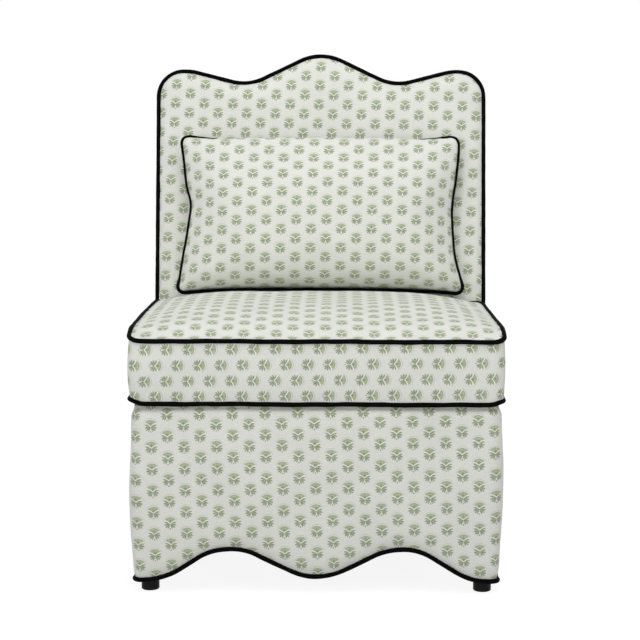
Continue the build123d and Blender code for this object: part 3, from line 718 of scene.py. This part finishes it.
def makeBase():
    half = chair["halfWidth"]
    front = chair["frontY"]
    rear = chair["rearY"]
    loop = planLoop(half, front, rear, base["frontRadius"], base["rearRadius"])
    out = outwardOf(loop)
    reach = reachRound(loop)
    frontWave = apronLine(half - base["frontRadius"])
    sideHalf = (rear - front - base["frontRadius"] - base["rearRadius"]) / 2
    sideMiddle = front + base["frontRadius"] + sideHalf
    sideWave = apronLine(sideHalf)
    low = np.full(len(loop), base["cornerHeight"])
    onFront = loop[:, 1] < front + 1e-6
    onSide = abs(loop[:, 0]) > half - 1e-6
    low[onFront] = np.interp(loop[onFront, 0], *frontWave.T)
    low[onSide] = np.interp(loop[onSide, 1] - sideMiddle, *sideWave.T)

    cornerGap = np.hypot(half - abs(loop[:, 0]), loop[:, 1] - front)
    nearCorner = np.exp(-(cornerGap / base["cornerReach"]) ** 2)
    square = 1 - 0.62 * abs(2 * out[:, 0] * out[:, 1])  # keeps clear of the board corners
    notRear = 1 - 0.95 * ease(out[:, 1], 0.0, 0.4)  # no padding over the rear board
    top = chair["deckTop"] - base["topGap"]
    gathers = base["pucker"] * ripple(reach[:-1], [(0.027, 0.5), (0.043, 0.6), (0.083, 0.5)], 4)

    def drawnIn(z):
        above = z - low
        over = top - z
        q = clamp(above / (top - low))
        swell = base["swell"] * clamp(np.sin(math.pi * q ** 0.8))
        hem = base["hemDraw"] * clamp(1 - above / base["hemRoll"]) ** 2
        pinch = base["cornerDraw"] * nearCorner * clamp(1 - above / base["cornerRise"]) ** 1.6
        bent = np.clip(base["topRoll"] - over, 0, None)
        roll = base["topRoll"] - np.sqrt(np.clip(base["topRoll"] ** 2 - bent ** 2, 0, None))
        roll += base["leftTuck"] * nearCorner * (loop[:, 0] < 0) * clamp(1 - over / 0.022) ** 2
        creases = unevenness(reach[:-1], z, [(0.19, 0.0008), (0.09, 0.0004)], 14) * ease(above, 0.01, 0.05)
        puckers = gathers * np.exp(-above / 0.02) * ease(above, 0.0, 0.006)
        edged = (hem * (1 - 0.45 * nearCorner) + pinch) * square
        return (edged + roll) * notRear - swell - creases - puckers

    inside = half - base["hemWidth"]
    inner = join(np.clip(loop[:, 0], -inside, inside),
                 np.clip(loop[:, 1], front + base["hemWidth"], rear - base["hemWidth"] + base["rearHem"]))
    edge = loop - drawnIn(low)[:, None] * out
    rows = []
    ups = []
    for share, rise in base["hemTurn"]:
        rows.append(np.column_stack([edge + share * (inner - edge), low + rise]))
        ups.append(low - base["hemWidth"] * share - max(rise, 0))
    for share in np.linspace(0, 1, base["rows"]):
        q = 0.5 * share + 0.5 * (1 - math.cos(math.pi * share)) / 2
        z = low + q * (top - low)
        rows.append(np.column_stack([loop - drawnIn(z)[:, None] * out, z]))
        ups.append(z)
    for inset in base["topTurn"]:
        rows.append(np.column_stack([loop - inset * out, np.full(len(loop), top + 0.0004)]))
        ups.append(np.full(len(loop), top + inset))
    up = np.stack(ups)
    up = np.hstack([up, up[:, :1]])
    across = np.where(out[:, 1] > 0.75, -loop[:, 0], reach[:-1])  # the rear is one panel
    across = np.append(across, across[0])
    cover = gridPiece("baseCover", np.stack(rows), printUv("base", across[None], up), wrap=True)
    dressPadded(cover, "chair", ["base_cover", "base_batting"])

    wobble = ripple(reach[:-1], [(0.07, 0.0003), (0.21, 0.0004)], 6)
    path = np.column_stack([edge + base["pipingOut"] * out, low - 0.0002 + wobble])
    outward = np.column_stack([out, 0 * low])
    makeCord("basePiping", path, outward, piping["base"], True, 31, "chair", "base_welt")


makeBase()
print("base covered")

# cotton deck under the cushion and felt under the frame
deck = {"inset": 0.006, "sag": 0.0012, "gap": 0.0003, "thick": 0.0008, "columns": 81, "rows": 73}
dust = {"edge": 0.0004, "sag": 0.0045, "gap": 0.0002, "thick": 0.0006, "columns": 71, "rows": 71}


def makeSheets():
    lowest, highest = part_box("deck_cloth")
    half = highest.x - deck["inset"]
    x, y = np.meshgrid(np.linspace(-half, half, deck["columns"]),
                       np.linspace(lowest.y + deck["inset"], highest.y, deck["rows"]))
    bump = (1 - (x / half) ** 4) * np.sin(math.pi * (y - y.min()) / (y.max() - y.min()))
    z = highest.z - deck["gap"] - deck["sag"] * bump + unevenness(x, y, [(0.13, 0.00025)], 2) * bump
    sheet = gridPiece("deckCover", join(x, y, z), join(x, y))
    dress(sheet, "chair", "deck_cloth", ["deck_cloth", "deck_pad"], deck["thick"])

    lowest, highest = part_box("dust_cover")
    edge = dust["edge"]
    x, y = np.meshgrid(np.linspace(lowest.x + edge, highest.x - edge, dust["columns"]),
                       np.linspace(lowest.y + edge, highest.y - edge, dust["rows"]))
    inside = np.minimum(np.minimum(x - lowest.x, highest.x - x), np.minimum(y - lowest.y, highest.y - y))
    loose = ease(inside, 0.018, 0.16)
    wrinkle = unevenness(x, y, [(0.17, 0.0011), (0.08, 0.0005)], 7) * ease(inside, 0.03, 0.1)
    z = highest.z - dust["gap"] - dust["sag"] * loose + wrinkle * loose
    felt = gridPiece("dustFelt", join(x, y, z), join(x, y), flip=True)
    dress(felt, "chair", "dust_cloth", ["dust_cover"], dust["thick"])


makeSheets()
print("deck and dust cover laid")


# swells a mesh with Blender's cloth; held points stay where they are
def swellCloth(points, quads, held, settings):
    mesh = bpy.data.meshes.new("swelling")
    mesh.from_pydata(points.tolist(), [], quads.tolist())
    piece = bpy.data.objects.new("swelling", mesh)
    scene.collection.objects.link(piece)
    cloth = piece.modifiers.new("cloth", "CLOTH")
    if len(held):
        group = piece.vertex_groups.new(name="held")
        group.add([int(k) for k in held], 1.0, "REPLACE")
        cloth.settings.vertex_group_mass = "held"
    stretch = settings["stretch"]
    for key, value in {
            "quality": settings["quality"], "mass": 0.2,
            "tension_stiffness": stretch, "compression_stiffness": stretch, "shear_stiffness": stretch / 3,
            "bending_stiffness": settings["bend"], "tension_damping": 15,
            "use_pressure": True, "uniform_pressure_force": settings["pressure"],
            "shrink_min": settings["spare"]}.items():
        setattr(cloth.settings, key, value)
    cloth.settings.effector_weights.gravity = 0
    cloth.collision_settings.use_collision = False
    cloth.point_cache.frame_start = 1
    cloth.point_cache.frame_end = settings["frames"]
    for number in range(1, settings["frames"] + 1):
        scene.frame_set(number)
    shaped = piece.evaluated_get(bpy.context.evaluated_depsgraph_get()).to_mesh()
    found = np.zeros(len(points) * 3)
    shaped.vertices.foreach_get("co", found)
    bpy.data.objects.remove(piece)
    scene.frame_set(1)
    return found.reshape(-1, 3)


# loose seat cushion: crowned top, boxing with a zip at the rear, flat underside
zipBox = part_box("seat_zip")
seat = {
    "half": seatBox[1].x - weltRadius,
    "front": seatBox[0].y + weltRadius,
    "rear": seatBox[1].y - weltRadius,
    "lowRear": lowSeatBox[1].y - weltRadius,
    "frontRadius": 0.020, "rearRadius": 0.016,
    "crown": 0.041, "crownReach": 0.205, "rearReach": 0.185, "rearRise": 0.36,
    "liftPeak": -0.290,  # the sides stand higher than the front edge, most here
    "leftLift": (0.0040, 0.0137), "rightLift": (0.0, 0.0145),  # at the rear and at the peak
    "lowLift": 0.0050, "lowReach": 0.024,  # the lower edge curls up round the corners
    "swell": 0.0034, "pucker": 0.0007, "boxingPucker": 0.0006, "boxingTuck": 0.0008, "rearTuck": 0.0012,
    "belly": 0.0031,
    "columns": 121, "rows": 115, "boxingRows": 27, "lowColumns": 61, "lowRows": 53,
    "cloth": {"quality": 6, "stretch": 12, "bend": 0.3, "pressure": 4.0, "spare": -0.03, "frames": 24},
    "simShare": 0.35,
    "zipHalf": zipBox[1].x + 0.0002,
    "zipLow": zipBox[0].z - 0.0004,
    "zipHigh": zipBox[1].z + 0.0002,
}


# grid over a rounded plan, and each point's distance from the plan's edge
def planGrid(half, front, rear, frontRadius, rearRadius, columns, rows):
    x, y = np.meshgrid(half * crowded(columns, 0.75),
                       (front + rear) / 2 + (rear - front) / 2 * crowded(rows, 0.75))
    far = np.minimum(half - abs(x), np.minimum(y - front, rear - y))
    for radius, way, wall in ((frontRadius, -1, front), (rearRadius, 1, rear)):
        a = clamp((abs(x) - (half - radius)) / radius)
        b = clamp(1 - way * (wall - y) / radius)
        inCorner = (a > 0) & (b > 0)
        roundA, roundB = roundCorner(a, b)
        x = np.where(inCorner, np.sign(x) * (half - radius + radius * roundA), x)
        y = np.where(inCorner, wall - way * radius * (1 - roundB), y)
        far = np.where(inCorner, radius * (1 - np.hypot(roundA, roundB)), far)
    return x, y, np.clip(far, 0, None)


def seatLift(x, y):
    peak = seat["liftPeak"]
    t = clamp((y - peak) / (seat["rear"] - peak))
    leftRear, leftPeak = seat["leftLift"]
    rightRear, rightPeak = seat["rightLift"]
    left = leftRear + (leftPeak - leftRear) * (1 - t ** 2)
    right = rightRear + (rightPeak - rightRear) * (1 - t) ** 1.25
    share = ease(x, -seat["half"], seat["half"])
    drop = np.cos(clamp((peak - y) / (peak - seat["front"])) * math.pi / 2)
    return (left * (1 - share) + right * share) * drop * ease(seat["rear"] - y, 0, 0.02)


def seatLowLift(x, y):
    atSide = ease(abs(x), seat["half"] - seat["lowReach"], seat["half"])
    return seat["lowLift"] * atSide * ease(seat["rear"] - y, 0.02, 0.3)


def seatDome(x, y):
    dome = clamp((seat["rear"] - y) / seat["rearReach"]) ** seat["rearRise"]  # quick rise by the pillow
    for gap, power in ((seat["half"] - abs(x), 2.7), (y - seat["front"], 2.2)):
        dome = dome * (1 - (1 - clamp(gap / seat["crownReach"])) ** power)
    flat = join(x, y, 0.002 * dome).reshape(-1, 3)
    quads = squares(gridIndex(x.shape)).reshape(-1, 4)
    held = np.flatnonzero(rimOf(x.shape))
    swollen = swellCloth(flat, quads, held, seat["cloth"])[:, 2].reshape(x.shape)
    print("seat cushion swelled to", round(float(swollen.max()), 4))
    share = seat["simShare"] * ease(seat["rear"] - y, 0.05, 0.2)  # the pillow stands at the rear
    dome = (1 - share) * dome + share * swollen / swollen.max()
    return dome / dome.max()


def makeSeat():
    radii = (seat["frontRadius"], seat["rearRadius"])
    shape = (seat["half"], seat["front"], seat["rear"], *radii)
    lowShape = (seat["half"], seat["front"], seat["lowRear"], *radii)
    upper = planLoop(*shape)
    lower = planLoop(*lowShape)

    x, y, far = planGrid(*shape, seat["columns"], seat["rows"])
    dome = seatDome(x, y)
    z = chair["seatTop"] + seat["crown"] * dome + seatLift(x, y) * (1 - dome)
    _, along = nearLine(join(x, y), np.vstack([upper, upper[:1]]))
    gathers = ripple(along, [(0.021, 0.5), (0.034, 0.7), (0.062, 0.6), (0.14, 0.6)], 17)
    z += seat["pucker"] * gathers * ease(far, 0.0, 0.008) * np.exp(-far / 0.03)
    z += unevenness(x, y, [(0.23, 0.0008), (0.11, 0.0004)], 19) * ease(far, 0.01, 0.07)
    pitch = np.linalg.norm(np.diff(join(y, z), axis=0), axis=-1)
    depth = np.insert(np.cumsum(pitch, axis=0), 0, 0, axis=0)  # cloth length from the front
    depth += y[0] - seat["front"]
    top = gridPiece("seatTopCover", join(x, y, z), printUv("seat", x, depth))
    dressPadded(top, "seat_cushion", ["seat_top_panel", "seat_fibre_topper"])

    out = outwardOf(upper)
    reach = reachRound(upper)
    lift = seatLift(*upper.T)
    lowLift = seatLowLift(*lower.T)
    levels = np.linspace(chair["seatLow"], chair["seatTop"], seat["boxingRows"])
    for level in (seat["zipLow"], seat["zipHigh"]):
        levels[abs(levels - level).argmin()] = level
    highGathers = seat["boxingPucker"] * ripple(reach[:-1], [(0.025, 0.5), (0.041, 0.6), (0.09, 0.5)], 23)
    lowGathers = seat["boxingPucker"] * ripple(reach[:-1], [(0.028, 0.5), (0.047, 0.6), (0.1, 0.5)], 24)
    calm = ease(upper[:, 1], seat["rear"] - 0.03, seat["rear"])  # flat behind, against the back
    rows = []
    for z in levels:
        q = (z - chair["seatLow"]) / (chair["seatTop"] - chair["seatLow"])
        swell = seat["swell"] * math.sin(math.pi * q) ** 0.75 - seat["boxingTuck"]
        swell = swell + highGathers * math.exp(-(1 - q) / 0.12) + lowGathers * math.exp(-q / 0.12)
        uneven = unevenness(reach[:-1], z + 0 * lift, [(0.2, 0.0006)], 25)
        swell += uneven * math.sin(math.pi * q)
        swell = swell * (1 - calm) - seat["rearTuck"] * calm
        spot = lower + q * (upper - lower) + swell[:, None] * out
        rows.append(np.column_stack([spot, z + lift * q + lowLift * (1 - q)]))
    points = np.stack(rows)
    atRear = points[0, :, 1] > points[0, :, 1].max() - 1e-4
    isZip = atRear & (abs(points[0, :, 0]) < seat["zipHalf"] + 0.004)
    middle = (levels[:-1] + levels[1:]) / 2
    zipRows = (middle > seat["zipLow"]) & (middle < seat["zipHigh"])
    keep = ~(zipRows[:, None] & isZip & np.roll(isZip, -1))  # leaves the zip's slot open
    index = gridIndex(points.shape)
    index = np.hstack([index, index[:, :1]])
    rise = np.hstack([points[..., 2], points[:, :1, 2]])
    uv = printUv("boxing", reach[None], rise)
    boxing = facedPiece("seatBoxing", points, squares(index)[keep], squares(uv)[keep])
    dressPadded(boxing, "seat_cushion", ["seat_boxing", "seat_foam_core"])

    x, y, far = planGrid(*lowShape, seat["lowColumns"], seat["lowRows"])
    z = chair["seatLow"] - seat["belly"] * ease(far, 0.0, 0.02) + seatLowLift(x, y)
    under = gridPiece("seatUnderside", join(x, y, z), printUv("plain", -x, y), flip=True)
    dressPadded(under, "seat_cushion", ["seat_bottom_panel"], chair["clothThick"] / 2)

    for name, cadNode, line, z, seed in (
            ("seatTopPiping", "seat_top_welt", upper, chair["seatTop"] + lift, 41),
            ("seatLowPiping", "seat_bottom_welt", lower, chair["seatLow"] + lowLift, 42)):
        wobble = ripple(reachRound(line)[:-1], [(0.06, 0.0002), (0.19, 0.0004)], seed)
        calm = ease(line[:, 1], seat["rear"] - 0.05, seat["rear"] - 0.01)
        path = np.column_stack([line, z + wobble * (1 - calm)])
        outward = np.column_stack([outwardOf(line), 0 * wobble])
        makeCord(name, path, outward, piping["seat"], True, seed, "seat_cushion", cadNode)


makeSeat()
print("seat cushion made")

# lumbar pillow: two panels sewn round the edge, leaning on the backrest
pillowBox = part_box("pillow_welt")
pillow = {
    "centre": np.array([0.0, (pillowBox[0].y + pillowBox[1].y) / 2, (pillowBox[0].z + pillowBox[1].z) / 2]),
    "halfWidth": 0.2675, "halfHeight": 0.1478, "frontDepth": 0.078, "backDepth": 0.0336,
    "leftDraw": (
        (-1.0, 0.0), (-0.73, 0.006), (-0.52, 0.011), (-0.3, 0.017), (0.0, 0.0235), (0.1, 0.025),
        (0.17, 0.024), (0.3, 0.017), (0.47, 0.0136), (0.65, 0.011), (0.88, 0.006), (1.0, 0.003)),
    "rightDraw": (
        (-1.0, 0.0), (-0.86, 0.002), (-0.69, 0.010), (-0.52, 0.016), (-0.22, 0.019), (0.0, 0.021),
        (0.2, 0.0186), (0.43, 0.013), (0.73, 0.008), (1.0, 0.006)),
    "topDraw": 0.011, "topPuff": 0.0180, "topFlop": 0.010, "bottomBow": 0.0075, "cornerDip": 0.0015,
    "topCorner": 0.021, "lowCorner": 0.014,
    "cut": (0.2735, 0.1575),  # half width and height of the flat panels
    "weltOut": (0.0030, 0.0006),  # at the lower edge, and at the sides and top
    "pucker": 0.0009, "gatherReach": 0.022,
    "columns": 131, "rows": 81,
    "cloth": {"quality": 6, "stretch": 12, "bend": 0.25, "pressure": 5.0, "spare": 0.0, "frames": 24},
    "simShare": 0.35,
    "slopePlace": 0.2627,  # middle of the pillow up the slope of the back
}


# how far the front and rear panels stand out, as shares of their depth
def pillowProfile(a, b):
    low = np.where(b < 0, abs(b) ** 8, abs(b) ** 2.1)  # the filling settles low
    plump = (clamp(1 - abs(a) ** 2.5) ** 0.52) * (clamp(1 - low) ** 0.52)
    index = gridIndex(a.shape)
    rim = rimOf(a.shape)
    behind = index.copy()
    behind[~rim] = a.size + np.arange((~rim).sum())  # the panels share their rim
    front = join(a * pillow["cut"][0], b * pillow["cut"][1], 0.006 * plump)
    rear = front[~rim] * (1, 1, -1)
    quads = np.vstack([squares(index).reshape(-1, 4), squares(behind).reshape(-1, 4)[:, ::-1]])
    swollen = swellCloth(np.vstack([front.reshape(-1, 3), rear]), quads, [], pillow["cloth"])[:, 2]
    print("pillow swelled to", round(float(np.ptp(swollen)), 4))
    share = pillow["simShare"]
    puffs = []
    for heights in (swollen[index], -swollen[behind]):
        puffed = np.where(rim, 0, heights) / np.percentile(heights, 99.5)
        puffs.append((1 - share) * plump + share * np.clip(puffed, 0, 1.05))
    return puffs


# smooth line through a few (place, depth) pairs
def smoothPairs(pairs, places):
    fine = np.linspace(-1.2, 1.2, 241)
    depth = np.interp(fine, *np.array(pairs).T)
    for _ in range(3):
        depth = np.convolve(np.pad(depth, 5, mode="edge"), np.ones(11) / 11, mode="valid")
    return np.interp(places, fine, depth)


# cloth length over a grid from its middle row or column
def clothLength(points, axis):
    steps = np.linalg.norm(np.diff(points, axis=axis), axis=-1)
    total = np.cumsum(np.insert(steps, 0, 0, axis=axis), axis=axis)
    return total - np.take(total, [points.shape[axis] // 2], axis=axis)


def makePillow():
    a, b = np.meshgrid(crowded(pillow["columns"], 0.8), crowded(pillow["rows"], 0.8))
    front, rear = pillowProfile(a, b)
    draw = np.where(a < 0, smoothPairs(pillow["leftDraw"], b), smoothPairs(pillow["rightDraw"], b))
    x = a * (pillow["halfWidth"] - draw * abs(a) ** 1.5)
    h = b * pillow["halfHeight"] - pillow["topDraw"] * (1 - abs(a) ** 5) * clamp(b) ** 2
    h += (pillow["bottomBow"] * (1 - a ** 4) - pillow["cornerDip"]) * clamp(-b) ** 2
    radius = np.where(b > 0, pillow["topCorner"], pillow["lowCorner"])
    sideGap = (1 - abs(a)) * pillow["halfWidth"]
    endGap = (1 - abs(b)) * pillow["halfHeight"]
    cornerA = clamp(1 - sideGap / radius)
    cornerB = clamp(1 - endGap / radius)
    roundA, roundB = roundCorner(cornerA, cornerB)
    x += np.sign(a) * radius * (roundA - cornerA) * (cornerB > 0)
    h += np.sign(b) * radius * (roundB - cornerB) * (cornerA > 0)
    gathers = pillow["pucker"] * ripple(h, [(0.021, 0.5), (0.034, 0.7), (0.062, 0.6)], 53)
    x += np.sign(a) * gathers * ease(sideGap, 0, 0.006) * np.exp(-sideGap / pillow["gatherReach"])
    gathers = pillow["pucker"] * ripple(x, [(0.023, 0.5), (0.037, 0.7), (0.071, 0.6)], 54)
    h += np.sign(b) * gathers * ease(endGap, 0, 0.006) * np.exp(-endGap / pillow["gatherReach"])
    seam = -pillow["topFlop"] * (1 - abs(a) ** 3) * ease(b, 0.1, 1.0)
    puff = pillow["topPuff"] * np.sin(math.pi * clamp((1 - b) / 0.3)) ** 0.8 * (1 - a ** 4)
    crown = seam * (1 - front) + pillow["frontDepth"] * np.clip(front, 0, 1.03)
    crown += unevenness(x, h, [(0.19, 0.0009), (0.09, 0.0005)], 52) * clamp(front)
    hollow = np.maximum(seam * (1 - rear) - 1.25 * pillow["backDepth"] * rear, -pillow["backDepth"])

    points = slopePoint(pillow["centre"], x, h + puff, crown)
    uv = printUv("pillow", clothLength(points, 1), clothLength(points, 0) + pillow["slopePlace"])
    face = gridPiece("pillowFront", points, uv)
    dressPadded(face, "pillow", ["pillow_front_panel", "pillow_fill"])
    points = slopePoint(pillow["centre"], x, h, hollow)
    other = gridPiece("pillowBack", points, printUv("pillow", -x, h), flip=True)
    dressPadded(other, "pillow", ["pillow_back_panel"])

    ring = slopePoint(pillow["centre"], x, h, seam)
    loop = np.vstack([ring[0, :-1], ring[:-1, -1], ring[-1, :0:-1], ring[:0:-1, 0], ring[0, :1]])
    path = respace(loop, 700)[:-1]
    height = (path - pillow["centre"]) @ lean / pillow["halfHeight"]
    lowOut, highOut = pillow["weltOut"]
    sewn = lowOut + (highOut - lowOut) * ease(height, -0.97, -0.8)  # how far outside the panels
    path = path + sewn[:, None] * unit(np.cross(wayRound(path), ahead))
    makeCord("pillowPiping", path, ahead, piping["pillow"], True, 51, "pillow", "pillow_welt")


makePillow()
print("pillow made")

# studio: white floor and surround to the eye, plain soft light on the chair
studio = {
    "world": 0.66, "floorGrey": 0.6, "floorGlow": 0.9, "floorShade": 0.17, "floorHalf": 4.0,
    "lamps": {
        "keyLight": {"power": 35.0, "size": 1.8, "spread": 180, "place": (0.2, -1.6, 3.2), "aim": 0.45},
        "fillLight": {"power": 3.4, "size": 2.2, "spread": 50, "place": (-1.0, -3.0, 1.15), "aim": 0.76},
    },
}


def eyeRays(tree):
    path = node(tree, "ShaderNodeLightPath").outputs
    rays = [Wire(path[name]) for name in ("Is Camera Ray", "Is Glossy Ray", "Is Transmission Ray")]
    return larger(larger(rays[0], rays[1]), rays[2])


def makeStudio():
    world = bpy.data.worlds.new("studioWhite")
    scene.world = world
    world.use_nodes = True
    tree = world.node_tree
    shown = tree.nodes["Background"]
    shown.inputs["Color"].default_value = (1, 1, 1, 1)
    lit = wire(tree, "ShaderNodeBackground", {"Color": (1, 1, 1, 1), "Strength": studio["world"]})
    mixed = wire(tree, "ShaderNodeMixShader", {0: eyeRays(tree), 1: lit, 2: Wire(shown.outputs[0])})
    feed(tree.nodes["World Output"].inputs["Surface"], mixed)

    material = bpy.data.materials.new("studioFloor")
    material.use_nodes = True
    tree = material.node_tree
    tree.nodes.remove(tree.nodes["Principled BSDF"])
    level = studio["floorGrey"]
    grey = span(mottle(objectPlace(tree), 1.5), 0.3, 0.7, level * 0.98, level * 1.02)
    plain = wire(tree, "ShaderNodeBsdfDiffuse", {"Color": greyOf(grey)})
    pale = wire(tree, "ShaderNodeBsdfDiffuse", {"Color": (*[studio["floorShade"]] * 3, 1)})
    glow = wire(tree, "ShaderNodeEmission", {"Color": (1, 1, 1, 1), "Strength": studio["floorGlow"]})
    white = wire(tree, "ShaderNodeAddShader", {0: pale, 1: glow})
    mixed = wire(tree, "ShaderNodeMixShader", {0: eyeRays(tree), 1: plain, 2: white})
    feed(tree.nodes["Material Output"].inputs["Surface"], mixed)
    t = np.linspace(-studio["floorHalf"], studio["floorHalf"], 9)
    x, y = np.meshgrid(t, t)
    floor = gridPiece("studioFloor", join(x, y, 0), join(x, y))
    floor.data.materials.append(material)

    for name, settings in studio["lamps"].items():
        lamp = bpy.data.lights.new(name, "AREA")
        lamp.energy = settings["power"]
        lamp.size = settings["size"]
        lamp.spread = math.radians(settings["spread"])
        holder = bpy.data.objects.new(name, lamp)
        holder.location = settings["place"]
        look = Vector((0, 0.1, settings["aim"])) - Vector(settings["place"])
        holder.rotation_euler = look.to_track_quat("-Z", "Y").to_euler()
        scene.collection.objects.link(holder)


makeStudio()

# camera where the photograph was taken from
view = {
    "place": (0.04147, -3.39486, 0.8694), "pitch": 0.13411, "yaw": -0.011669, "roll": 0.00204,
    "focal": 1886.2, "pixels": 640, "sensor": 36,
}


def makeCamera():
    lens = bpy.data.cameras.new("photoView")
    lens.sensor_width = view["sensor"]
    lens.lens = view["focal"] * view["sensor"] / view["pixels"]
    camera = bpy.data.objects.new("photoView", lens)
    turn = Matrix.Rotation(-view["yaw"], 4, "Z") @ Matrix.Rotation(math.pi / 2 - view["pitch"], 4, "X")
    turn = turn @ Matrix.Rotation(view["roll"], 4, "Z")
    camera.matrix_world = Matrix.Translation(view["place"]) @ turn
    scene.collection.objects.link(camera)
    scene.camera = camera


makeCamera()
print("studio and camera set")
